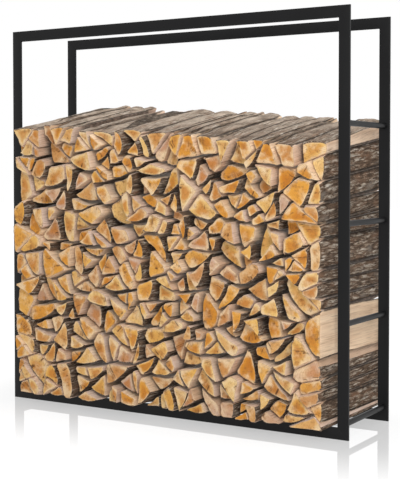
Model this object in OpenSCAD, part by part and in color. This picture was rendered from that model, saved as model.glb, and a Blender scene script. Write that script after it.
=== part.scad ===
// Log store: two upright flat-bar frames joined by rods at both sides, filled with split firewood.
// Millimetres. X runs along the front, Y from front to rear and Z up.
// The origin is on the floor, under the middle of the rack.

/* [Frames] */
// Width over the posts
rack_w = 1000; // [800:10:1400]
// Depth over the two frames
rack_d = 245; // [200:5:300]
// Height of the frames
rack_h = 1000; // [900:10:1300]
// Width of the flat bar, as seen from the front
bar_w = 28; // [20:1:40]
// Thickness of the flat bar
bar_t = 6; // [4:0.5:10]

/* [Side rods] */
// Diameter of a side rod
rod_d = 14; // [10:1:20]
// Number of rods on each side
rod_count = 4; // [3:1:6]
// Height of the lowest rod's centre line
rod_low_z = 35; // [25:1:100]
// Height of the highest rod's centre line
rod_high_z = 732; // [600:1:850]

/* [Stack] */
// Height of the firewood above the bottom rails at the left end of the front
stack_h_left = 725; // [560:2:780]
// Height of the firewood above the bottom rails at the right end of the front
stack_h_right = 663; // [560:2:780]
// Mean clearance between the side rods and the firewood
stack_gap = 24; // [10:1:60]
// Distance from the middle of the rack to the middle of the firewood, to the right
stack_shift = 8; // [-8:1:8]
// Most that a log reaches out past the front or the rear frame
overhang_max = 70; // [50:1:100]
// Least that a log reaches out past the front or the rear frame
overhang_min = 30; // [10:1:45]
// Rise of the topmost logs from front to rear, per unit of depth
top_slope = 0.22; // [0:0.01:0.25]

/* [Logs] */
// Size of the bundles that the stack is laid in, each of which is split into logs
bundle = 98; // [80:1:130]
// Smallest log that is split no further, as the side of a square of the same end area
end_min = 36; // [32:1:46]
// Largest log that is split no further, as the side of a square of the same end area
end_max = 70; // [50:1:78]
// Smallest radius of the bark
bark_r_min = 42; // [34:1:48]
// Largest radius of the bark
bark_r_max = 96; // [50:1:120]
// Clearance between logs that lie on each other
seat_gap = 0.3; // [0.2:0.05:0.6]
// Widest open joint between logs that stand side by side
joint_max = 7; // [1:0.5:8]
// Number that sets the mix of logs
mix = 5; // [1:1:99]

/* [Hidden] */
$fn = 64;
rail_top = bar_w;
post_x = (rack_w - bar_w) / 2;
frame_y = (rack_d - bar_t) / 2;
rod_l = rack_d - 2 * bar_t;

// The firewood fills the width between the rods and stands on the bottom rails.
stack_w = 2 * (post_x - rod_d / 2 - stack_gap);
log_l = rack_d + 2 * overhang_max;
saw_waste = 40;
billet_l = log_l + 2 * saw_waste;

// Bundles lie in staggered rows. Their middles stray by a share of a bundle, the stack's
// sides are uneven by some millimetres, and its top dips by some more.
columns = round(stack_w / bundle);
rows = round((stack_h_left + stack_h_right) / 2 / bundle);
stagger = 0.2;
jitter = 0.3;
uneven = 4;
top_dip = 14;

// A cut across a bundle strays from square by an angle, and from the middle by a length.
cut_turn = 28;
cut_stray = 4;
// Logs at different heights differ in slope by whole steps.
slope_step = 0.01;
// Logs meet side by side, with an open joint, where the upward share of a face's normal is under this.
level_share = 0.35;
// Share of the logs at the stack's sides that show a split face there and not their bark.
bare_share = 0.45;
// A wide bark face comes from a thick billet: the radius is at least this share of the width, and
// at the stack's sides at least the second share.
bark_fit = 1.15;
side_fit = 1.9;
// The axis of the bark strays from the log's by an angle.
bark_skew = 3;
// At the rear the logs lie more nearly flush: their least reach is this share of the way to the most.
rear_flush = 0.6;
// Ends are sawn out of square by up to this share of their width.
saw_slope = 0.07;
// Points closer than this lie on the same face.
tiny = 0.001;

SECTIONS = ["left", "middle", "right"];
BARS = ["left_post", "right_post", "top_rail", "bottom_rail"];

function lerp(a, b, t) = a + (b - a) * t;
function unit(v) = v / norm(v);
function total(list) = list * [for (v = list) 1];
function middle(points) = [for (k = [0, 1]) total([for (p = points) p[k]]) / len(points)];
function cross2(a, b) = a[0] * b[1] - a[1] * b[0];
function turned(v, angle) = [v[0] * cos(angle) - v[1] * sin(angle), v[0] * sin(angle) + v[1] * cos(angle)];
function area(p) = total([for (i = [0 : len(p) - 1]) cross2(p[i], p[(i + 1) % len(p)])]) / 2;

// Height of the stack's top at the front ends, and the slope of logs that lie at height z:
// level at the bottom, and steeper in steps towards the top.
function stack_top(x) = rail_top + lerp(stack_h_left, stack_h_right, x / stack_w + 0.5);
top_normal = unit([stack_h_left - stack_h_right, stack_w]);
function slope_at(z) =
    slope_step * round(top_slope / slope_step * pow(max(0, z - rail_top) / stack_h_left, 3));

// A face is [outward normal in XZ, distance along it at the front ends, slope towards the rear].
function reach_at(face, depth) = face[1] + face[0][1] * face[2] * depth;
function pulled_in(face, gap) = [face[0], face[1] - gap, face[2]];

// The part of a convex outline that lies inside the faces, at a depth behind the front ends.
function clipped(outline, face, depth) = [
    for (i = [0 : len(outline) - 1])
        let (
            a = outline[i],
            b = outline[(i + 1) % len(outline)],
            out_a = face[0] * a - reach_at(face, depth),
            out_b = face[0] * b - reach_at(face, depth)
        )
        each concat(
            out_a <= 0 ? [a] : [],
            out_a * out_b < 0 ? [a + (b - a) * out_a / (out_a - out_b)] : []
        )
];
function outline(faces, depth, i = 0, from = undef) =
    let (whole = [[-rack_w, -rack_h], [rack_w, -rack_h], [rack_w, 2 * rack_h], [-rack_w, 2 * rack_h]])
    i == len(faces)
        ? from
        : outline(faces, depth, i + 1, clipped(is_undef(from) ? whole : from, faces[i], depth));
function touches(face, points, depth) =
    min([for (p = points) abs(face[0] * p - reach_at(face, depth))]) < tiny;

// Faces that bound the log at its front or its rear; the others lie outside it.
function bounding(faces) =
    let (front = outline(faces, 0), rear = outline(faces, log_l))
    [for (f = faces) if (touches(f, front, 0) || touches(f, rear, log_l)) f];

// Middle of a bundle, laid in staggered rows with some disorder.
function key_of(row, column) = mix * 1000 + row * 40 + column;
function bundle_at(row, column) =
    let (
        stray = rands(-jitter, jitter, 2, key_of(row, column)),
        shift = row % 2 == 0 ? stagger : -stagger,
        x = stack_w * ((column + 0.5 + shift + stray[0]) / columns - 0.5)
    )
    [x, lerp(rail_top, stack_top(x), (row + 0.5 + stray[1]) / rows)];

function side_face(side, row, column) =
    let (back = rands(0, uneven, 1, key_of(row, column) + side)[0])
    [[side, 0], stack_w / 2 - back, slope_at(bundle_at(row, column)[1])];
function top_face(row, column) =
    let (dip = rands(0, top_dip, 1, key_of(row, column) + 0.5)[0])
    [top_normal, top_normal * [0, stack_top(0)] - dip, slope_at(stack_top(0))];
function rail_face() = [[0, -1], -rail_top, 0];

// Faces of a bundle: halfway to each bundle around it, and the limits of the stack.
function bundle_faces(row, column) =
    let (here = bundle_at(row, column))
    bounding(concat(
        [rail_face(), top_face(row, column), side_face(-1, row, column), side_face(1, row, column)],
        [
            for (r = [max(0, row - 2) : min(rows - 1, row + 2)])
                for (c = [max(0, column - 2) : min(columns - 1, column + 2)])
                    if (r != row || c != column)
                        let (there = bundle_at(r, c), normal = unit(there - here), half = (here + there) / 2)
                        [normal, normal * half, slope_at(half[1])]
        ]
    ));

function longest_span(points) =
    let (
        spans = [for (p = points, q = points) q - p],
        longest = max([for (s = spans) norm(s)])
    )
    [for (s = spans) if (norm(s) > longest - tiny) s][0];

// Splits a bundle across its longest span until each piece is the size of a log.
function split(faces, key) =
    let (
        end = outline(faces, 0),
        random = rands(0, 1, 3, key),
        enough = area(end) < lerp(pow(end_min, 2), pow(end_max, 2), random[0]),
        across = turned(unit(longest_span(end)), lerp(-cut_turn, cut_turn, random[1])),
        place = across * middle(end) + lerp(-cut_stray, cut_stray, random[2]),
        slope = slope_at(middle(end)[1])
    )
    enough
        ? [[faces, key]]
        : concat(
            split(bounding(concat(faces, [[across, place, slope]])), 2 * key),
            split(bounding(concat(faces, [[-across, -place, slope]])), 2 * key + 1)
        );

// Logs that lie on each other nearly touch, and those side by side leave an open joint.
// At the stack's sides each log stands back by its own amount.
function on_side(face) = abs(face[0][0]) == 1;
function on_top(face) = face[0] == top_normal;
function is_level(face) = abs(face[0][1]) > level_share;
function set_apart(faces, key) =
    let (
        open = rands(seat_gap, joint_max, len(faces), key + 0.3),
        back = rands(0, uneven, 1, key + 0.6)[0]
    )
    [
        for (i = [0 : len(faces) - 1])
            let (gap = is_level(faces[i]) ? seat_gap : open[i])
            pulled_in(faces[i], on_side(faces[i]) ? back : gap / 2)
    ];

// The stretch of a log's middle section that lies on a face.
function edge_on(face, points) =
    [for (p = points) if (abs(face[0] * p - reach_at(face, log_l / 2)) < tiny) p];
function edge_length(face, points) =
    let (edge = edge_on(face, points))
    len(edge) < 2 ? 0 : norm(edge[1] - edge[0]);

// The face that keeps its bark: the open one on the stack's top and on most logs at its sides, and
// otherwise one of the wider ones, but none on which another log lies. At the sides no level one has it.
function bark_score(face, wide, chance, at_side) =
    wide == 0 ? -1
    : on_top(face) ? 2 * rack_w
    : on_side(face) ? (chance > bare_share ? rack_w : tiny)
    : is_level(face) && (at_side || face[0][1] > 0) ? 0
    : wide * (1 + chance);
function bark_face(faces, points, key) =
    let (
        chance = rands(0, 1, len(faces), key + 0.7),
        at_side = len([for (f = faces) if (on_side(f)) f]) > 0,
        scores = [
            for (i = [0 : len(faces) - 1])
                bark_score(faces[i], edge_length(faces[i], points), chance[i], at_side)
        ]
    )
    [for (i = [0 : len(faces) - 1]) if (scores[i] == max(scores)) faces[i]][0];

// Normal of a face in space, the way along it towards the rear, and its foot under a point.
function normal_of(face) = unit([face[0][0], -face[0][1] * face[2], face[0][1]]);
function way_along(face) = unit([0, 1, face[2]]);
function foot_on(face, point) =
    let (foot = point + face[0] * (reach_at(face, log_l / 2) - face[0] * point))
    [foot[0], 0, foot[1]];

// Turns what stands along Z so that it stands along a direction.
module along(direction) {
    rotate([0, acos(direction[2]), atan2(direction[1], direction[0])])
        children();
}

// All that lies past a face through a point.
module beyond(normal, point) {
    size = 2 * log_l;
    translate(point)
        along(normal)
            translate([-size / 2, -size / 2, 0])
                cube(size);
}

// A round billet whose bark reaches a face, and lies slightly askew along it.
module billet(face, edge, key) {
    fit = on_side(face) ? side_fit : bark_fit;
    r = max(rands(bark_r_min, bark_r_max, 1, key + 0.1)[0], fit * norm(edge[1] - edge[0]));
    askew = rands(-bark_skew, bark_skew, 1, key + 0.2)[0];
    normal = normal_of(face);
    way = way_along(face);
    axis = way * cos(askew) + cross(normal, way) * sin(askew);
    translate(foot_on(face, middle(edge)) - r * normal)
        along(axis)
            cylinder(r = r, h = billet_l, center = true);
}

// A billet split along its other faces and sawn at both ends.
module split_log(faces, key) {
    apart = bounding(set_apart(faces, key));
    section = outline(apart, log_l / 2);
    heart = middle(section);
    bark = bark_face(apart, section, key);
    ragged = [for (share = rands(0, 1, 2, key + 0.9)) sqrt(share)];
    reach = [ragged[0], lerp(rear_flush, 1, ragged[1])];
    overhang = [for (share = reach) lerp(overhang_min, overhang_max, share)];
    saw = rands(-saw_slope, saw_slope, 4, key + 0.4);
    difference() {
        billet(bark, edge_on(bark, section), key);
        for (f = apart)
            if (f != bark)
                beyond(normal_of(f), foot_on(f, heart));
        for (side = [0, 1]) {
            way = 2 * side - 1;
            beyond(
                unit([saw[2 * side], way, saw[2 * side + 1]]),
                [heart[0], way * (rack_d / 2 + overhang[side]), heart[1]]
            );
        }
    }
}

module logs(row, section) {
    first = floor(columns * section / len(SECTIONS));
    last = floor(columns * (section + 1) / len(SECTIONS)) - 1;
    for (column = [first : last])
        for (piece = split(bundle_faces(row, column), key_of(row, column)))
            color(["burlywood", "tan", "peru"][piece[1] % 3])
                translate([stack_shift, 0, 0])
                    split_log(piece[0], piece[1]);
}

// One bar of a frame with mitred ends, drawn along X with its outer edge down.
module mitred_bar(length) {
    translate([0, bar_t / 2, 0])
        rotate([90, 0, 0])
            linear_extrude(bar_t)
                polygon([
                    [-length / 2, 0],
                    [length / 2, 0],
                    [length / 2 - bar_w, bar_w],
                    [-length / 2 + bar_w, bar_w]
                ]);
}

module frame_bar(bar, side) {
    color([0.15, 0.15, 0.15])
        translate([0, side * frame_y, rack_h / 2])
            if (bar == "top_rail")
                translate([0, 0, rack_h / 2]) rotate([0, 180, 0]) mitred_bar(rack_w);
            else if (bar == "bottom_rail")
                translate([0, 0, -rack_h / 2]) mitred_bar(rack_w);
            else if (bar == "left_post")
                translate([-rack_w / 2, 0, 0]) rotate([0, 90, 0]) mitred_bar(rack_h);
            else
                translate([rack_w / 2, 0, 0]) rotate([0, -90, 0]) mitred_bar(rack_h);
}

// A round rod between the two frames, in the middle of the posts' width.
module side_rod(side, i) {
    z = lerp(rod_low_z, rod_high_z, (i - 1) / (rod_count - 1));
    color([0.25, 0.25, 0.25])
        translate([side * post_x, rod_l / 2, z])
            rotate([90, 0, 0])
                cylinder(d = rod_d, h = rod_l);
}

for (bar = BARS) {
    frame_bar(bar, -1);
    frame_bar(bar, 1);
}
for (i = [1 : rod_count]) {
    side_rod(-1, i);
    side_rod(1, i);
}
for (row = [1 : rows])
    for (s = [0 : len(SECTIONS) - 1])
        logs(row - 1, s);
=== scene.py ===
"""Looks of the log store: powder-coated flat-bar rack with a load of split, air-dried firewood."""

import math

import bpy
import numpy as np
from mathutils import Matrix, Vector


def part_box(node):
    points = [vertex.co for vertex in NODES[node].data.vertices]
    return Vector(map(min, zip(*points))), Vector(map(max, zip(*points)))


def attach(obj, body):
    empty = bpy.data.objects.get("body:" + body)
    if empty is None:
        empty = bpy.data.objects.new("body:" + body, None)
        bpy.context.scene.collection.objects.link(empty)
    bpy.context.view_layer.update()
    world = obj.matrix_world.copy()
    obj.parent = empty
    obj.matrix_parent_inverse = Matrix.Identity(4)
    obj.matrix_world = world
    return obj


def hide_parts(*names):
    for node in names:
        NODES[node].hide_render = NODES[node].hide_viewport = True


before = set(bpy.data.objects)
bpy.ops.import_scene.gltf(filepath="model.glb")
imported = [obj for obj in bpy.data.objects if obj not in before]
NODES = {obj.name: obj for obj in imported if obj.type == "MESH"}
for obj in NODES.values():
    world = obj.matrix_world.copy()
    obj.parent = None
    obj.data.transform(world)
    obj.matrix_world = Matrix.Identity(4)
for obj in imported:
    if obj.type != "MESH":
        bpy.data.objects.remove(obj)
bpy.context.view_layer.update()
LOG_ROWS = sorted(n for n in NODES if n.startswith("logs_row_"))

# Rack
BAR_WELD = 0.00002               # points of a bar this close are one
BAR_ALONG = 0.999                # edges that run more than this share along the bar are rounded
EDGE_ROUND = 0.0007              # rounding of the bars' long edges
BAR_SMOOTH = math.radians(35)    # bends of a bar up to this are shaded smooth

# Faces of a log, read from its solid
SAME_POINT = 1e-5                # points this close are one
ON_FACE = 5e-5                   # points this close to a plane lie on it
SLIVER = 2e-9                    # triangles with less than this, twice their area, give no plane
SAME_WAY = 0.9999                # cosine between two readings of one plane's normal
SAME_PLANE = 1e-4                # distance between two readings of one plane
END_FACING = 0.8                 # faces that look further than this along y are sawn ends
BARK_TURN = math.radians(14)     # most turn from one flat of the bark to the next
BARK_FLATS = 4                   # a shorter chain of flats, or fewer points, is no bark
ANGLES = np.linspace(-math.pi, math.pi, 720, endpoint=False)    # directions round a log
NARROW = 6                       # faces seen in fewer of these directions are left out

# Mesh of a log
FACE_STEP = 0.0075               # step across a split face
BARK_STEP = 0.0050               # step round the bark
ARC_SHARE = 1.12                 # length of a bark arc over its chord
SECTIONS = 31                    # sections from end to end
LIP = 0.0022                     # one more section this close to each end
EDGE_PAD = 0.0050                # width of the worn strip beside an edge
PAD_MOST = 0.3                   # most of a face that the strip takes
EDGE_WEAR = 0.0024               # depth by which an edge is worn
WEAR_SPREAD = (0.6, 2.2)         # least and most wear, as shares of that depth
END_WEAR = 0.0012                # depth by which the rim of a sawn end is worn
SHRINKAGE = 0.0009               # gap that drying leaves round a log
END_GAP = 0.0022                 # more room round the ends of a log inside the stack
GAP_RUN = (0.055, 0.095)         # depths at which that room starts to close and is closed
SIDE_RUN = (0.003, 0.014)        # the same for the logs at both sides, which have no such room
INNER_HALF = 0.38                # half of the width that counts as inside
PULL_MOST = 0.25                 # share of a log's radius that wear and gaps may take
PROBES = np.arange(0.0004, 0.0100, 0.0004)    # distances at which the next log is looked for
HELD = 0.85                      # share of the relief that a pressed face lacks deep inside
BARK_THICK = 0.0055              # bark seen on a sawn end
BARK_MOST = 0.3                  # most of a sawn end's radius that is bark
LOG_SMOOTH = math.radians(42)    # bends of a log up to this are shaded smooth
WEIGHT_STEPS = 8                 # steps in the strength of a relief
FIRST_SEED = 100                 # seed of the first row section

# Stack
STACK_SIDES = (-0.447, 0.463)    # its left and right side
STACK_TOPS = (0.753, 0.691)      # its height there, at the front ends
STACK_FRONT = -0.1925            # its front ends
STACK_RISE = 0.22                # rise of its top towards the rear
SIDE_DEEP, SIDE_FACING = 0.022, 0.6     # faces this close to a side that look this far sideways
TOP_DEEP, TOP_FACING = 0.03, 0.45       # faces this close to the top that look this far up
RAIL_TOP = 0.028                 # the lowest logs lie on the bottom rails
RAIL_CLEAR, RAIL_FADE = 0.001, 0.004    # over the rail, relief sets in here and over this height
RAIL_LEAST = 0.1                 # share of the relief where a log lies on a rail
CREVICE_RUN = (0.008, 0.050)     # depths between which the painted shade between logs sets in
CREVICE_DARK = 0.75              # strength of that painted shade
SEAM_RUN = (0.003, 0.023)        # the same depths for the painted shade along the seams on the sides and the top
SKY_HEIGHT = (0.68, 0.76)        # heights between which the top's paling sets in
SKY_FACING = (0.35, 0.85)        # upward shares of a normal between which it sets in

# Floor and camera
FLOOR_SIZE = 30
RACK_FOOT = (0.5, 0.1225, 1.0)   # half of the rack's width and depth; the last keeps height out
MIRROR_SHARE, MIRROR_REACH = 0.45, 0.55    # reflection under the rack, and where it ends
PICTURE = (400, 479)             # width and height of the picture in pixels
FOCAL = 1126.77                  # focal length in those pixels
CENTRE = (213.96, 208.53)        # pixel that the camera points at
SENSOR = 36


def paint(red, green, blue):
    """A display colour, 0 to 255, as the linear colour that a shader takes."""
    def linear(c):
        c = c / 255
        return c / 12.92 if c <= 0.04045 else ((c + 0.055) / 1.055) ** 2.4
    return (linear(red), linear(green), linear(blue), 1.0)


def deselect():
    bpy.ops.object.select_all(action="DESELECT")


def pick(obj):
    deselect()
    obj.select_set(True)
    bpy.context.view_layer.objects.active = obj


# Materials

class Finish:
    """A material under construction: its nodes are added and wired by name."""

    def __init__(self, name):
        self.material = bpy.data.materials.new(name)
        self.material.use_nodes = True
        self.tree = self.material.node_tree
        self.shader = self.tree.nodes["Principled BSDF"]

    def add(self, kind, settings=None, **sockets):
        n = self.tree.nodes.new(kind)
        for key, value in (settings or {}).items():
            setattr(n, key, value)
        for key, value in sockets.items():
            self.feed(n, key.replace("_", " "), value)
        return n

    def feed(self, n, socket, value):
        """Sets a socket to a value, or links it to a node's first output or to a given output."""
        target = n.inputs[int(socket)] if socket.isdigit() else n.inputs[socket]
        if isinstance(value, bpy.types.Node):
            value = next(o for o in value.outputs if o.enabled)
        if isinstance(value, bpy.types.NodeSocket):
            self.tree.links.new(value, target)
        else:
            target.default_value = value

    def place(self):
        """The point's place in the part."""
        return self.add("ShaderNodeTexCoord").outputs["Object"]

    def carried(self, label, output="Fac"):
        """A fact that the mesh carries at its points."""
        return self.add("ShaderNodeAttribute", {"attribute_name": label}).outputs[output]

    def math(self, operation, a, b=0.5):
        n = self.add("ShaderNodeMath", {"operation": operation})
        self.feed(n, "0", a)
        self.feed(n, "1", b)
        return n

    def vector(self, operation, a, b=(0, 0, 0)):
        n = self.add("ShaderNodeVectorMath", {"operation": operation})
        self.feed(n, "0", a)
        self.feed(n, "1", b)
        return n

    def blend(self, share, a, b):
        n = self.add("ShaderNodeMix", {"data_type": "RGBA"})
        self.feed(n, "0", share)
        self.feed(n, "6", a)
        self.feed(n, "7", b)
        return n.outputs[2]

    def cover(self, share, under, over):
        n = self.add("ShaderNodeMixShader")
        for k, value in enumerate((share, under, over)):
            self.feed(n, str(k), value)
        return n

    def ramp(self, share, stops):
        n = self.add("ShaderNodeValToRGB", Fac=share)
        line = n.color_ramp.elements
        line[0].position, line[0].color = stops[0]
        line[1].position, line[1].color = stops[-1]
        for place, colour in stops[1:-1]:
            line.new(place).color = colour
        return n.outputs["Color"]

    def level(self, share, low, high, to_low=0.0, to_high=1.0):
        """Stretches low..high to to_low..to_high, smoothly, with stops at both ends."""
        n = self.add("ShaderNodeMapRange", {"interpolation_type": "SMOOTHSTEP"})
        for key, value in zip(("Value", "From Min", "From Max", "To Min", "To Max"),
                              (share, low, high, to_low, to_high)):
            self.feed(n, key, value)
        return n

    def grain(self, place, size, detail=4.0, rough=0.55, warp=0.0):
        """Noise whose lumps have the given size in metres along each axis."""
        spread = self.vector("MULTIPLY", place, tuple(1 / s for s in size))
        return self.add("ShaderNodeTexNoise", Vector=spread, Scale=1.0, Detail=detail,
                        Roughness=rough, Distortion=warp)

    def swing(self, noise, size):
        """A noise about its middle, scaled."""
        return self.math("MULTIPLY", self.math("SUBTRACT", noise, 0.5), size)

    def relief(self, height, depth, strength):
        return self.add("ShaderNodeBump", Height=height, Distance=depth, Strength=strength)

    def surface(self, colour, rough, normal, specular):
        self.feed(self.shader, "Base Color", colour)
        self.feed(self.shader, "Roughness", rough)
        self.feed(self.shader, "Normal", normal)
        self.shader.inputs["Specular IOR Level"].default_value = specular
        return self.material


def powder_coat():
    f = Finish("black_powder_coat")
    place = f.place()
    peel = f.grain(place, (0.0016,) * 3, 2.0)
    cloud = f.grain(place, (0.09,) * 3, 4.0)
    dust = f.grain(place, (0.004, 0.004, 0.03), 5.0, 0.7)
    black = f.ramp(cloud, [(0.3, paint(11, 11, 12)), (0.7, paint(16, 16, 17))])
    colour = f.blend(f.level(dust, 0.62, 0.8, 0.0, 0.3), black, paint(36, 35, 34))
    rough = f.level(cloud, 0.25, 0.75, 0.38, 0.5)
    return f.surface(colour, rough, f.relief(peel, 0.00012, 0.5), 0.2)


def log_facts(f):
    """Each log's space from its heart line, the same shifted at random, and three random tones."""
    space, tone = f.carried("log_space", "Vector"), f.carried("log_tone", "Vector")
    parts = f.add("ShaderNodeSeparateXYZ", Vector=tone)
    own = f.vector("ADD", space, f.vector("MULTIPLY", tone, (3.1, 5.3, 2.7)))
    return space, own, parts.outputs["X"], parts.outputs["Y"], parts.outputs["Z"]


def bark_colour(f, own):
    """Bark in long ragged plates: pale grey-brown scales parted by dark furrows along the log."""
    bend = f.grain(own, (0.012, 0.06, 0.012), 4.0, 0.6).outputs["Color"]
    bent = f.vector("MULTIPLY_ADD", f.vector("SUBTRACT", bend, (0.5,) * 3), (0.011, 0.05, 0.011))
    f.feed(bent, "2", own)
    plates = f.vector("MULTIPLY", bent, (1 / 0.0095, 1 / 0.12, 1 / 0.0095))
    seam = f.add("ShaderNodeTexVoronoi", {"feature": "DISTANCE_TO_EDGE"}, Vector=plates, Scale=1.0)
    furrow = f.level(seam.outputs["Distance"], 0.0, 0.28)
    flake = f.grain(bent, (0.0040, 0.026, 0.0040), 4.0, 0.7)
    cloud = f.grain(own, (0.03, 0.08, 0.03), 3.0)
    height = f.math("MULTIPLY", f.level(furrow, 0.0, 1.0, 0.12, 1.0), f.level(flake, 0.36, 0.64))
    # Colour follows the relief's height: dark in the furrows and pale on the crowns. This is partly
    # the bark's own colour, partly painted shade and painted highlight.
    brown = f.ramp(height, [(0.0, paint(62, 49, 39)), (0.12, paint(116, 95, 78)),
                            (0.34, paint(168, 146, 125)), (0.6, paint(198, 181, 162)),
                            (1.0, paint(230, 219, 205))])
    warm = f.blend(f.level(cloud, 0.5, 0.75, 0.0, 0.45), brown, paint(164, 122, 94))
    grey = f.blend(f.level(cloud, 0.25, 0.45, 0.4, 0.0), warm, paint(166, 157, 146))
    return grey, height


def bleached(f, colour, share):
    """Fades the upward faces on top of the stack to a pale, dry tone."""
    blotch = f.grain(f.place(), (0.03, 0.09, 0.03), 4.0, 0.6)
    spread = f.level(blotch, 0.35, 0.65, 0.25 * share, share)
    return f.blend(f.math("MULTIPLY", f.carried("open_sky"), spread), colour, paint(226, 207, 187))


def dusty(f, colour, share):
    """Painted shade: darkens what lies deep between logs and along the seams of the stack's sides
    and top.
    """
    ragged = f.swing(f.grain(f.place(), (0.008, 0.02, 0.008), 4.0, 0.65), 0.9)
    start = f.math("ADD", f.carried("painted_crevice_shade"), ragged)
    return f.blend(f.level(start, 0.1, 1.0, 0.0, share), colour, paint(34, 24, 16))


def bark_finish():
    f = Finish("rough_bark")
    _, own, _, value, _ = log_facts(f)
    colour, height = bark_colour(f, own)
    shade = f.blend(f.level(value, 0.5, 1.0, 0.0, 0.3), colour, paint(92, 75, 62))
    return f.surface(dusty(f, bleached(f, shade, 0.75), 0.95),
                     f.level(height, 0.0, 1.0, 0.95, 0.8), f.relief(height, 0.0045, 0.9), 0.2)


def split_finish():
    f = Finish("split_fibre")
    _, own, hue, value, _ = log_facts(f)
    streak = f.grain(own, (0.003, 0.15, 0.003), 5.0, 0.62)
    band = f.grain(own, (0.014, 0.3, 0.014), 3.0, 0.5, 0.4)
    cloud = f.grain(own, (0.05, 0.09, 0.05), 3.0)
    wood = f.ramp(hue, [(0.0, paint(238, 206, 168)), (0.25, paint(241, 214, 184)),
                        (0.5, paint(232, 203, 176)), (0.75, paint(228, 204, 188)),
                        (1.0, paint(208, 172, 138))])
    banded = f.blend(f.level(band, 0.38, 0.7, 0.0, 0.45), wood, paint(196, 154, 118))
    streaked = f.blend(f.level(streak, 0.45, 0.72, 0.0, 0.5), banded, paint(150, 112, 84))
    tear = f.grain(f.vector("ADD", own, (3.0, 9.0, 5.0)), (0.0022, 0.11, 0.0022), 3.0, 0.5)
    torn = f.blend(f.level(tear, 0.62, 0.72, 0.0, 0.6), streaked, paint(112, 80, 58))
    grey = f.math("MULTIPLY", f.level(cloud, 0.4, 0.7), f.level(value, 0.5, 1.0, 0.0, 0.55))
    aged = f.blend(grey, torn, paint(178, 160, 145))
    height = f.math("ADD", f.math("MULTIPLY", streak, 0.7), f.math("MULTIPLY", band, 0.6))
    return f.surface(dusty(f, bleached(f, aged, 0.5), 0.97),
                     f.level(streak, 0.3, 0.8, 0.62, 0.85), f.relief(height, 0.0016, 0.8), 0.3)


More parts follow.
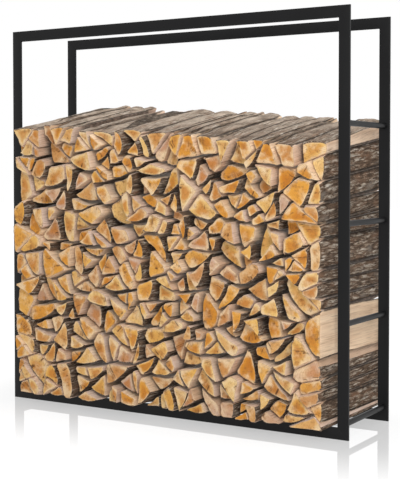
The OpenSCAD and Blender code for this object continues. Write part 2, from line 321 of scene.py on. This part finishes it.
def sawn_finish():
    """End grain: rings and cracks round the heart, sapwood, saw marks and a bark edge."""
    f = Finish("sawn_end_grain")
    space, own, hue, value, pitch = log_facts(f)
    rim, edge = f.carried("bark_rim"), f.carried("end_edge")
    patch = f.grain(own, (0.022,) * 3, 2.0)
    stain = f.grain(f.vector("ADD", own, (7.0, 1.0, 3.0)), (0.03, 0.05, 0.03), 3.0)
    speck = f.grain(own, (0.0055,) * 3, 4.0, 0.65)

    sway = f.grain(own, (0.03,) * 3, 2.0).outputs["Color"]
    wobble = f.vector("SCALE", f.vector("SUBTRACT", sway, (0.5,) * 3))
    wobble.inputs["Scale"].default_value = 0.012
    rings_at = f.vector("ADD", space, wobble)
    radius = f.vector("LENGTH", f.vector("MULTIPLY", rings_at, (1, 0, 1))).outputs["Value"]
    year = f.math("FRACT", f.math("MULTIPLY", radius, f.level(pitch, 0, 1, 260, 420)))
    late = f.math("POWER", year, 2.5)

    parts = f.add("ShaderNodeSeparateXYZ", Vector=rings_at)
    turn = f.math("ARCTAN2", parts.outputs["Z"], parts.outputs["X"])
    rays = f.add("ShaderNodeTexNoise", {"noise_dimensions": "1D"}, Scale=1.0, Detail=2.0)
    ray_at = f.math("ADD", f.math("MULTIPLY", turn, 5.0), f.math("MULTIPLY", value, 40.0))
    f.feed(rays, "W", ray_at)
    off = f.math("ABSOLUTE", f.math("SUBTRACT", rays, 0.5))
    crack = f.math("MULTIPLY", f.level(off, 0.004, 0.022, 1.0, 0.0), f.level(patch, 0.53, 0.66))

    saw_turn = f.math("MULTIPLY", pitch, round(math.tau, 3))
    saw = f.add("ShaderNodeVectorRotate", {"rotation_type": "Y_AXIS"}, Vector=own, Angle=saw_turn)
    kerf = f.grain(saw, (0.0013, 0.05, 0.05), 3.0, 0.6)

    wood = f.ramp(hue, [(0.0, paint(220, 148, 50)), (0.2, paint(229, 166, 70)),
                        (0.42, paint(235, 188, 104)), (0.58, paint(239, 206, 142)),
                        (0.74, paint(228, 180, 114)), (0.87, paint(206, 152, 94)),
                        (0.95, paint(212, 186, 168)), (1.0, paint(164, 114, 74))])
    inner = f.level(f.math("ADD", edge, f.swing(patch, 0.9)), 0.3, 0.75, 1.0, 0.0)
    heart = f.math("MULTIPLY", inner, f.level(value, 0.1, 0.7, 0.15, 0.8))
    cored = f.blend(heart, wood, paint(196, 120, 38))
    pale = f.blend(f.level(stain, 0.46, 0.7, 0.0, 0.6), cored, paint(244, 222, 180))
    cloudy = f.blend(f.level(patch, 0.45, 0.72, 0.0, 0.75), pale, paint(184, 120, 56))
    speckled = f.blend(f.level(speck, 0.5, 0.72, 0.0, 0.55), cloudy, paint(152, 98, 48))
    outer = f.level(f.math("ADD", edge, f.swing(stain, 1.6)), 0.62, 1.0)
    sapwood = f.math("MULTIPLY", outer, f.level(value, 0.0, 0.4, 0.25, 0.7))
    rimmed = f.blend(sapwood, speckled, paint(240, 214, 176))
    ringed = f.blend(f.math("MULTIPLY", late, 0.36), rimmed, paint(170, 112, 58))
    sawn = f.blend(f.level(kerf, 0.55, 0.8, 0.0, 0.3), ringed, paint(176, 128, 78))
    # Dark line round the rim of each sawn end: partly grime at the edge, partly painted shade of
    # the gap round the log.
    outlined = f.blend(f.level(edge, 0.93, 1.0, 0.0, 0.45), sawn, paint(120, 84, 54))
    cracked = f.blend(f.math("MULTIPLY", crack, 0.8), outlined, paint(74, 48, 30))
    bark, _ = bark_colour(f, own)
    barky = f.level(f.math("ADD", rim, f.swing(patch, 0.9)), 0.38, 0.52)
    colour = f.blend(barky, cracked, f.blend(0.5, bark, paint(66, 48, 36)))
    marks = f.math("ADD", f.math("MULTIPLY", kerf, 0.6), f.math("MULTIPLY", late, 0.25))
    height = f.math("SUBTRACT", marks, f.math("MULTIPLY", crack, 1.6))
    return f.surface(colour, f.level(kerf, 0.3, 0.8, 0.66, 0.85),
                     f.relief(height, 0.0011, 0.8), 0.25)


COAT = powder_coat()
SAWN, SPLIT, BARK = sawn_finish(), split_finish(), bark_finish()


# Rack

def dress_bar(name):
    """The bar with its long edges rounded, as rolled flat bar has them."""
    bar = bpy.data.objects.new("coated_" + name, NODES[name].data.copy())
    bpy.context.scene.collection.objects.link(bar)
    bar.data.materials.clear()
    bar.data.materials.append(COAT)
    low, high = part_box(name)
    along = max(range(3), key=lambda k: high[k] - low[k])
    pick(bar)
    bpy.ops.object.mode_set(mode="EDIT")
    bpy.ops.mesh.select_all(action="SELECT")
    bpy.ops.mesh.remove_doubles(threshold=BAR_WELD)
    bpy.ops.mesh.dissolve_limited(angle_limit=math.radians(1))
    bpy.ops.mesh.select_all(action="DESELECT")
    bpy.ops.object.mode_set(mode="OBJECT")
    points = [v.co for v in bar.data.vertices]
    for edge in bar.data.edges:
        run = points[edge.vertices[1]] - points[edge.vertices[0]]
        edge.select = abs(run[along]) > BAR_ALONG * run.length
    bpy.ops.object.mode_set(mode="EDIT")
    bpy.ops.mesh.select_mode(type="EDGE")
    bpy.ops.mesh.bevel(offset=EDGE_ROUND, segments=3, affect="EDGES")
    bpy.ops.object.mode_set(mode="OBJECT")
    bpy.ops.object.shade_smooth_by_angle(angle=BAR_SMOOTH)
    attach(bar, "root")
    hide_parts(name)


for name in sorted(NODES):
    if name.endswith("post") or name.endswith("rail"):
        dress_bar(name)
    elif "_rod_" in name:
        NODES[name].data.materials.clear()
        NODES[name].data.materials.append(COAT)


# Firewood

def rise(values, run):
    """Nought below a run, one above it and a straight line between."""
    return np.clip((values - run[0]) / (run[1] - run[0]), 0, 1)


def wrapped(angle):
    return (angle + math.pi) % (2 * math.pi) - math.pi


def separate_logs(node):
    """The points of a packed row, and the triangles of each log in it."""
    mesh = node.data
    co = np.empty(len(mesh.vertices) * 3, np.float32)
    mesh.vertices.foreach_get("co", co)
    co = co.reshape(-1, 3)
    tris = np.empty(len(mesh.polygons) * 3, np.int32)
    mesh.polygons.foreach_get("vertices", tris)
    _, first, same = np.unique(np.round(co / SAME_POINT).astype(np.int64), axis=0,
                               return_index=True, return_inverse=True)
    points = co[first].astype(float)
    tris = same.reshape(-1)[tris].reshape(-1, 3)
    label = np.arange(len(points))
    while True:
        lowest = label[tris].min(axis=1)
        before = label.copy()
        for k in range(3):
            np.minimum.at(label, tris[:, k], lowest)
        if (label == before).all():
            break
    for one in np.unique(label):
        yield points, tris[label[tris[:, 0]] == one]


def face_planes(points, tris):
    """Outward normals and distances of a log's flat faces, largest first."""
    a, b, c = (points[tris[:, k]] for k in range(3))
    normals = np.cross(b - a, c - a)
    areas = np.linalg.norm(normals, axis=1)
    found = []
    for k in np.argsort(-areas):
        if areas[k] < SLIVER:
            continue
        n = normals[k] / areas[k]
        d = float(n @ a[k])
        if not any(n @ m > SAME_WAY and abs(d - e) < SAME_PLANE for m, e in found):
            found.append((n, d))
    return np.array([n for n, d in found]), np.array([d for n, d in found])


def whole_stack():
    """Face planes of every log, and the low and high corners of every log's box."""
    planes, low, high = [], [], []
    for row in LOG_ROWS:
        for points, tris in separate_logs(NODES[row]):
            planes.append(face_planes(points, tris))
            corners = points[np.unique(tris)]
            low.append(corners.min(axis=0))
            high.append(corners.max(axis=0))
    return planes, np.array(low), np.array(high)


STACK = whole_stack()


def bark_planes(normals):
    """Marks the faces that follow each other round in small turns: the rounded bark."""
    turn = np.arctan2(normals[:, 2], normals[:, 0])
    order = np.argsort(turn)
    count = len(order)
    near = np.diff(np.append(turn[order], turn[order[0]] + 2 * math.pi)) < BARK_TURN
    bark = np.zeros(count, bool)
    for start in range(count):
        chain = [start]
        while near[chain[-1] % count] and len(chain) < count:
            chain.append(chain[-1] + 1)
        if len(chain) >= BARK_FLATS:
            bark[order[np.array(chain) % count]] = True
    return bark


def circle_centre(points):
    """Centre of the circle through points of a section, by least squares."""
    rows = np.c_[2 * points[:, 0], 2 * points[:, 2], np.ones(len(points))]
    sums = points[:, 0] ** 2 + points[:, 2] ** 2
    x, z, _ = np.linalg.lstsq(rows, sums, rcond=None)[0]
    return np.array([x, z])


class Log:
    """One log: its section is followed from end to end, edge by edge."""

    def __init__(self, points, tris, rng):
        self.rng = rng
        normals, far = face_planes(points, tris)
        corners = points[np.unique(tris)]
        self.ends = []
        for end in (np.argmin(normals[:, 1]), np.argmax(normals[:, 1])):
            on_end = corners[np.abs(corners @ normals[end] - far[end]) < ON_FACE]
            box_middle = (on_end.min(axis=0) + on_end.max(axis=0)) / 2
            middle = box_middle * 0.5 + on_end.mean(axis=0) * 0.5
            slope = -normals[end][[0, 2]] / normals[end][1]
            self.ends.append((middle, slope, on_end))
        side = np.abs(normals[:, 1]) < END_FACING
        self.normals, self.far = normals[side], far[side]
        self.bark = bark_planes(self.normals)
        self.group = np.arange(1, len(self.far) + 1)
        self.group[self.bark] = 0
        self.start = self.ends[0][0][1]
        self.length = self.ends[1][0][1] - self.start
        lip, cuts = LIP / self.length, np.linspace(0, 1, SECTIONS)[1:-1]
        self.stations = np.concatenate([[0, lip], cuts, [1 - lip, 1]])
        self.to_end = np.minimum(self.stations, 1 - self.stations) * self.length
        self.hearts = self.heart_line()

    def axis(self, t):
        return (1 - t) * self.ends[0][0] + t * self.ends[1][0]

    def heart_line(self):
        """The pith at both ends: the centre of the bark, or a guess off the middle without bark."""
        hearts = []
        away = self.rng.uniform(0, 2 * math.pi)
        reach = self.rng.uniform(0.01, 0.06)
        for middle, _, on_end in self.ends:
            gap = self.far - on_end @ self.normals.T
            on_bark = (gap[:, self.bark] < ON_FACE).any(axis=1)
            if on_bark.sum() >= BARK_FLATS:
                hearts.append(circle_centre(on_end[on_bark]))
            else:
                hearts.append(middle[[0, 2]] + reach * np.array([math.cos(away), math.sin(away)]))
        return hearts

    def cast(self, t, angle):
        """Where each direction from the axis meets the surface, and the face there."""
        centre = self.axis(t)
        across = np.stack([np.cos(angle), np.sin(angle)], axis=-1)
        climb = across @ ((1 - t) * self.ends[0][1] + t * self.ends[1][1])
        way = np.stack([across[..., 0], climb, across[..., 1]], axis=-1)
        closing = way @ self.normals.T
        room = self.far - self.normals @ centre
        with np.errstate(divide="ignore", invalid="ignore"):
            reach = np.where(closing > 1e-6, room / closing, np.inf)
        return centre + way * reach.min(axis=-1)[..., None], reach.argmin(axis=-1)

    def runs(self):
        """Kind and middle direction of each side of the middle section: a split face or the bark.
        The kind is the face's number, or 0 for the bark as a whole."""
        group = self.group[self.cast(0.5, ANGLES)[1]]
        starts = np.flatnonzero(group != np.roll(group, 1))
        out = []
        for k, start in enumerate(starts):
            stop = starts[(k + 1) % len(starts)]
            size = (stop - start) % len(ANGLES) or len(ANGLES)
            middle = wrapped(ANGLES[start] + (size - 1) / 2 * (ANGLES[1] - ANGLES[0]))
            if size >= NARROW:
                out.append((group[start], middle))
        return out

    def joint(self, angle):
        """Half of the gap from the face in that direction to the next log, at mid-length."""
        point, face = self.cast(0.5, np.array([angle]))
        probe = point[0] + PROBES[:, None] * self.normals[face[0]]
        planes, low, high = STACK
        near = ((probe[:, None] > low) & (probe[:, None] < high)).all(axis=2)
        gaps = []
        for k in np.flatnonzero(near.any(axis=0)):
            normals, far = planes[k]
            gaps.extend(PROBES[(probe @ normals.T < far).all(axis=1)][:1])
        return min(gaps, default=0.0) / 2

    def lies_open(self, angle):
        """Whether the face in that direction is part of the stack's side or top."""
        x, y, z = self.cast(0.5, np.array([angle]))[0][0]
        from_top = np.interp(x, STACK_SIDES, STACK_TOPS) + STACK_RISE * (y - STACK_FRONT) - z
        left = x - STACK_SIDES[0] < SIDE_DEEP and math.cos(angle) < -SIDE_FACING
        right = STACK_SIDES[1] - x < SIDE_DEEP and math.cos(angle) > SIDE_FACING
        return bool(left or right or from_top < TOP_DEEP and math.sin(angle) > TOP_FACING)

    def edge_angles(self, runs):
        """Direction of the edge before each side, at every station."""
        half = (ANGLES[1] - ANGLES[0]) / 2
        angles = np.empty((len(self.stations), len(runs)))
        for s, t in enumerate(self.stations):
            group = self.group[self.cast(t, ANGLES)[1]]
            spans = []
            for kind, middle in runs:
                turn = wrapped(ANGLES[group == kind] - middle)
                spans.append((middle + turn.min(), middle + turn.max()) if len(turn) else None)
            for k in range(len(runs)):
                before, after = spans[k - 1], spans[k]
                if before and after:
                    angles[s, k] = before[1] + wrapped(after[0] - before[1]) / 2
                elif before or after:
                    angles[s, k] = before[1] + half if before else after[0] - half
                else:
                    angles[s, k] = angles[s - 1, k] if s else runs[k][1]
        return angles

    def column(self, one, two, share, bark):
        """Points from end to end, at a share of the way from one edge to the next."""
        span = wrapped(two - one) % (2 * math.pi)
        points = np.empty((len(self.stations), 3))
        for s, t in enumerate(self.stations):
            if bark:
                points[s] = self.cast(t, np.array([one[s] + share * span[s]]))[0][0]
            else:
                a, b = self.cast(t, np.array([one[s], two[s]]))[0]
                points[s] = a + share * (b - a)
        return points

    def rings(self):
        """Points round the log at each station. Notes of each column of points whether bark follows
        it, and whether it is an edge, on an open face or a seam, and how far it may swell."""
        runs = self.runs()
        count = len(runs)
        angles = self.edge_angles(runs)
        corners = self.cast(0.5, angles[len(self.stations) // 2])[0]
        outer = [self.lies_open(middle) for _, middle in runs]
        joints = [0.0 if is_open else self.joint(run[1]) for is_open, run in zip(outer, runs)]
        columns, notes = [], []
        for k, (kind, _) in enumerate(runs):
            bark = kind == 0
            width = np.linalg.norm(corners[(k + 1) % count] - corners[k])
            width *= ARC_SHARE if bark else 1
            pad = min(PAD_MOST, EDGE_PAD / width)
            steps = max(1, round(width * (1 - 2 * pad) / (BARK_STEP if bark else FACE_STEP)))
            for share in np.concatenate([[0], np.linspace(pad, 1 - pad, steps + 1)]):
                edge = share == 0
                swell = max(joints[k], joints[k - 1]) if edge else joints[k]
                seam = edge and outer[k - 1] != outer[k]
                columns.append(self.column(angles[:, k], angles[:, (k + 1) % count], share, bark))
                notes.append((bark, edge, outer[k], seam, swell))
        self.barky, self.edge, self.open, self.seam, self.swell = map(np.array, zip(*notes))
        return np.stack(columns, axis=1)

    def worn_rings(self):
        """The rings with wear and gaps, and how firmly each point is pressed on another log."""
        rings = self.rings()
        inward = np.array([self.axis(t) for t in self.stations])[:, None] - rings
        reach = np.linalg.norm(inward, axis=2, keepdims=True)
        inward /= reach
        inside = abs(self.axis(0.5)[0]) < INNER_HALF
        tight = rise(self.to_end, GAP_RUN if inside else SIDE_RUN)
        pressed = np.outer(tight, ~self.open)
        room = (END_GAP * inside * (1 - tight))[:, None]
        pull = SHRINKAGE * (1 - pressed) + room - pressed * self.swell
        wear = EDGE_WEAR * self.rng.uniform(*WEAR_SPREAD, self.edge.sum())
        pull[:, self.edge] += wear * (1 - pressed[:, self.edge])
        pull[[0, -1]] += END_WEAR
        return rings + inward * np.minimum(pull[..., None], PULL_MOST * reach), pressed

    def mesh(self):
        """Points, faces, each face's finish (0 sawn, 1 split, 2 bark) and what the points carry."""
        rings, pressed = self.worn_rings()
        stations, around = rings.shape[:2]
        after = np.roll(np.arange(around), -1)
        points, faces, kinds = [rings.reshape(-1, 3)], [], []
        edging = [np.ones(stations * around)]
        for s in range(stations - 1):
            here, there = s * around, (s + 1) * around
            for j in range(around):
                faces.append((here + j, there + j, there + after[j], here + after[j]))
                kinds.append(2 if self.barky[j] else 1)
        base = stations * around
        for row in (0, stations - 1):
            turned = -1 if row == 0 else 1
            edge, middle = rings[row], self.axis(self.stations[row])
            radius = np.linalg.norm(edge - middle, axis=1, keepdims=True)
            loops = [np.arange(row * around, (row + 1) * around)]
            for gap in (np.minimum(BARK_THICK, BARK_MOST * radius), 0.5 * radius):
                points.append(edge + (middle - edge) * gap / radius)
                edging.append(1 - (gap / radius).ravel())
                loops.append(np.arange(base, base + around))
                base += around
            points.append(middle[None])
            edging.append(np.zeros(1))
            for outer, inner in zip(loops, loops[1:]):
                for j in range(around):
                    quad = (outer[j], inner[j], inner[after[j]], outer[after[j]])
                    faces.append(quad[::turned])
                    kinds.append(0)
            for j in range(around):
                faces.append((loops[-1][j], base, loops[-1][after[j]])[::turned])
                kinds.append(0)
            base += 1
        co = np.concatenate(points)
        facts = self.facts(co, pressed)
        facts["end_edge"] = np.concatenate(edging)
        return co, faces, kinds, facts

    def facts(self, co, pressed):
        """What the points carry: the ring points first, then those inside the sawn ends."""
        stations, around = pressed.shape
        touching = self.barky | np.roll(self.barky, 1)
        within = self.barky & np.roll(self.barky, 1)
        rim = np.zeros(pressed.shape)
        rim[[0, -1]] = touching
        # Painted shade between logs: the deeper a covered face lies from its log's end, the darker
        # it gets, and it is darkest along the seams of the stack's sides and top.
        shade = CREVICE_DARK * rise(self.to_end, CREVICE_RUN)[:, None] * ~self.open
        shade[:, self.seam] = rise(self.to_end, SEAM_RUN)[:, None]

        def on_rings(values, at_ends):
            ends = np.full(len(co) - stations * around, at_ends)
            return np.concatenate([np.ravel(values), ends])

        bark = on_rings(np.tile(within, stations), 0.0)
        sawn = on_rings(np.zeros(pressed.shape), 1.0)
        free = on_rings(1 - HELD * pressed, 1.0)
        run = (co[:, 1] - self.start) / self.length
        heart = np.outer(1 - run, self.hearts[0]) + np.outer(run, self.hearts[1])
        return {
            "weights": np.c_[bark * (1 - sawn), (1 - bark) * (1 - sawn), sawn] * free[:, None],
            "log_space": np.c_[co[:, 0] - heart[:, 0], co[:, 1], co[:, 2] - heart[:, 1]],
            "log_tone": np.tile(self.rng.random(3), (len(co), 1)),
            "bark_rim": on_rings(rim, 0.0),
            "painted_crevice_shade": on_rings(shade, 0.0),
        }


def relief_texture(name, kind, **settings):
    texture = bpy.data.textures.new(name, kind)
    texture.noise_scale = 1.0
    for key, value in settings.items():
        setattr(texture, key, value)
    return texture


RELIEFS = [
    # name, vertex group, texture, size of its lumps along x, y, z, depth, share that stands proud
    ("lumps", "bark", relief_texture("bark_lumps", "CLOUDS", noise_depth=1),
     (0.03, 0.06, 0.03), 0.0032, 0.3),
    ("fissures", "bark", relief_texture("bark_fissures", "VORONOI"),
     (0.016, 0.075, 0.016), 0.0034, 0.0),
    ("waves", "split", relief_texture("split_waves", "CLOUDS", noise_depth=1),
     (0.024, 0.13, 0.024), 0.0056, 0.5),
    ("fibres", "split", relief_texture("split_fibres", "CLOUDS", noise_depth=2),
     (0.009, 0.10, 0.009), 0.0018, 0.3),
    ("saw", "sawn", relief_texture("saw_waves", "CLOUDS", noise_depth=1),
     (0.02, 0.02, 0.02), 0.0014, 0.0),
]


def add_weights(piece, weights):
    """Vertex groups that say how much of each relief a point takes."""
    for k, group in enumerate(("bark", "split", "sawn")):
        members = piece.vertex_groups.new(name=group)
        level = np.round(weights[:, k] * WEIGHT_STEPS).astype(int)
        for step in range(1, WEIGHT_STEPS + 1):
            members.add(np.flatnonzero(level == step).tolist(), step / WEIGHT_STEPS, "REPLACE")


def roughen(piece):
    """Carves the reliefs into the logs. Lumps that stand proud close up to the logs around them."""
    pick(piece)
    for name, group, texture, size, depth, proud in RELIEFS:
        stretch = bpy.data.objects.new("relief_scale", None)
        bpy.context.scene.collection.objects.link(stretch)
        stretch.scale = size
        bpy.context.view_layer.update()
        carve = piece.modifiers.new(name, "DISPLACE")
        carve.texture = texture
        carve.texture_coords = "OBJECT"
        carve.texture_coords_object = stretch
        carve.vertex_group = group
        carve.mid_level = proud
        carve.strength = -depth
        bpy.ops.object.modifier_apply(modifier=name)
        bpy.data.objects.remove(stretch)


def keep_within(piece, node_name):
    """Holds every point inside the box of the row's solids."""
    co = np.empty(len(piece.data.vertices) * 3, np.float32)
    piece.data.vertices.foreach_get("co", co)
    low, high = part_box(node_name)
    held = np.clip(co.reshape(-1, 3), low, high).astype(np.float32)
    piece.data.vertices.foreach_set("co", held.ravel())
    piece.data.update()


def dress_logs(name, number):
    """One row section of firewood as a single mesh of separate logs."""
    rng = np.random.default_rng(FIRST_SEED + number)
    points, faces, kinds, facts = [], [], [], []
    base = 0
    for solid_points, solid_tris in separate_logs(NODES[name]):
        co, log_faces, log_kinds, carried = Log(solid_points, solid_tris, rng).mesh()
        points.append(co)
        faces.extend(tuple(int(i) + base for i in face) for face in log_faces)
        kinds.extend(log_kinds)
        facts.append(carried)
        base += len(co)
    co = np.concatenate(points)
    joined = {label: np.concatenate([one[label] for one in facts]) for label in facts[0]}
    mesh = bpy.data.meshes.new("split_" + name)
    mesh.from_pydata(co.tolist(), [], faces)
    for finish in (SAWN, SPLIT, BARK):
        mesh.materials.append(finish)
    mesh.polygons.foreach_set("material_index", np.array(kinds, np.int32))
    normal = np.empty(len(co) * 3, np.float32)
    mesh.vertices.foreach_get("normal", normal)
    joined["open_sky"] = rise(co[:, 2], SKY_HEIGHT) * rise(normal[2::3], SKY_FACING)
    for label in ("log_space", "log_tone", "bark_rim", "end_edge", "painted_crevice_shade", "open_sky"):
        values = joined[label].astype(np.float32)
        kind, field = ("FLOAT", "value") if values.ndim == 1 else ("FLOAT_VECTOR", "vector")
        mesh.attributes.new(label, kind, "POINT").data.foreach_set(field, values.ravel())
    piece = bpy.data.objects.new("split_" + name, mesh)
    bpy.context.scene.collection.objects.link(piece)
    over_rail = np.clip((co[:, 2] - RAIL_TOP - RAIL_CLEAR) / RAIL_FADE, RAIL_LEAST, 1.0)
    add_weights(piece, joined["weights"] * over_rail[:, None])
    roughen(piece)
    keep_within(piece, name)
    bpy.ops.object.shade_smooth_by_angle(angle=LOG_SMOOTH)
    piece.visible_glossy = False    # the floor mirrors the rack only
    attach(piece, "root")
    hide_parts(name)


for number, name in enumerate(LOG_ROWS):
    dress_logs(name, number)


# Floor, light and camera

def pale_floor():
    """White floor that takes a soft shadow and, close to the rack, a faint reflection."""
    bpy.ops.mesh.primitive_plane_add(size=FLOOR_SIZE, location=(0, 0, 0))
    floor = bpy.context.active_object
    floor.name = "floor"
    f = Finish("pale_floor")
    f.tree.nodes.remove(f.shader)
    beside = f.vector("SUBTRACT", f.vector("ABSOLUTE", f.place()), RACK_FOOT)
    away = f.vector("LENGTH", f.vector("MAXIMUM", beside)).outputs["Value"]
    matte = f.add("ShaderNodeBsdfDiffuse", Color=(0.9, 0.9, 0.9, 1))
    glow = f.add("ShaderNodeEmission", Strength=1.27)
    gloss = f.add("ShaderNodeBsdfGlossy", Roughness=0.01)
    path = f.add("ShaderNodeLightPath")
    looks = f.math("MAXIMUM", path.outputs["Is Camera Ray"], path.outputs["Is Glossy Ray"])
    lit = f.cover(0.72, matte, glow)
    sheen = f.cover(f.level(away, 0.0, MIRROR_REACH, MIRROR_SHARE, 0.0), lit, gloss)
    f.feed(f.tree.nodes["Material Output"], "Surface", f.cover(looks, matte, sheen))
    floor.data.materials.append(f.material)


def white_world(strength):
    """A sky that lights with the given strength and is plain white where it is seen."""
    world = bpy.data.worlds.new("studio")
    bpy.context.scene.world = world
    world.use_nodes = True
    tree = world.node_tree
    sky = tree.nodes["Background"]
    path = tree.nodes.new("ShaderNodeLightPath")
    seen, level = tree.nodes.new("ShaderNodeMath"), tree.nodes.new("ShaderNodeMapRange")
    either = tree.nodes.new("ShaderNodeMath")
    either.operation = seen.operation = "MAXIMUM"
    tree.links.new(path.outputs["Is Camera Ray"], either.inputs[0])
    tree.links.new(path.outputs["Is Glossy Ray"], either.inputs[1])
    tree.links.new(either.outputs[0], seen.inputs[0])
    tree.links.new(path.outputs["Is Transmission Ray"], seen.inputs[1])
    level.inputs["To Min"].default_value = strength
    level.inputs["To Max"].default_value = 1.0
    tree.links.new(seen.outputs[0], level.inputs["Value"])
    sky.inputs["Color"].default_value = (1, 1, 1, 1)
    tree.links.new(level.outputs["Result"], sky.inputs["Strength"])


def soft_lamp(name, place, aim, size, power):
    """A round lamp turned towards a point."""
    lamp = bpy.data.lights.new(name, "AREA")
    lamp.shape = "DISK"
    lamp.size = size
    lamp.energy = power
    holder = bpy.data.objects.new(name, lamp)
    bpy.context.scene.collection.objects.link(holder)
    holder.location = place
    x, y, z = (a - p for a, p in zip(aim, place))
    holder.rotation_euler = (math.atan2(math.hypot(x, y), -z), 0, math.atan2(y, x) - math.pi / 2)


deselect()
pale_floor()
white_world(0.55)
soft_lamp("key_lamp", (2.4, -2.8, 2.2), (0, 0, 0.45), 1.8, 78)
soft_lamp("top_lamp", (0.4, 0.6, 3.2), (0, 0, 0.6), 2.2, 30)

camera = bpy.data.cameras.new("camera")
camera.sensor_width = SENSOR
camera.lens = SENSOR * FOCAL / PICTURE[1]
camera.shift_x = (PICTURE[0] / 2 - CENTRE[0]) / PICTURE[1]
camera.shift_y = (CENTRE[1] - PICTURE[1] / 2) / PICTURE[1]
camera.clip_end = 100
stand = bpy.data.objects.new("camera", camera)
bpy.context.scene.collection.objects.link(stand)
stand.location = (1.5571, -2.4882, 0.6187)
stand.rotation_euler = (math.pi / 2 - 0.0324, 0, 0.5398)
bpy.context.scene.camera = stand
bpy.context.scene.view_settings.view_transform = "Standard"
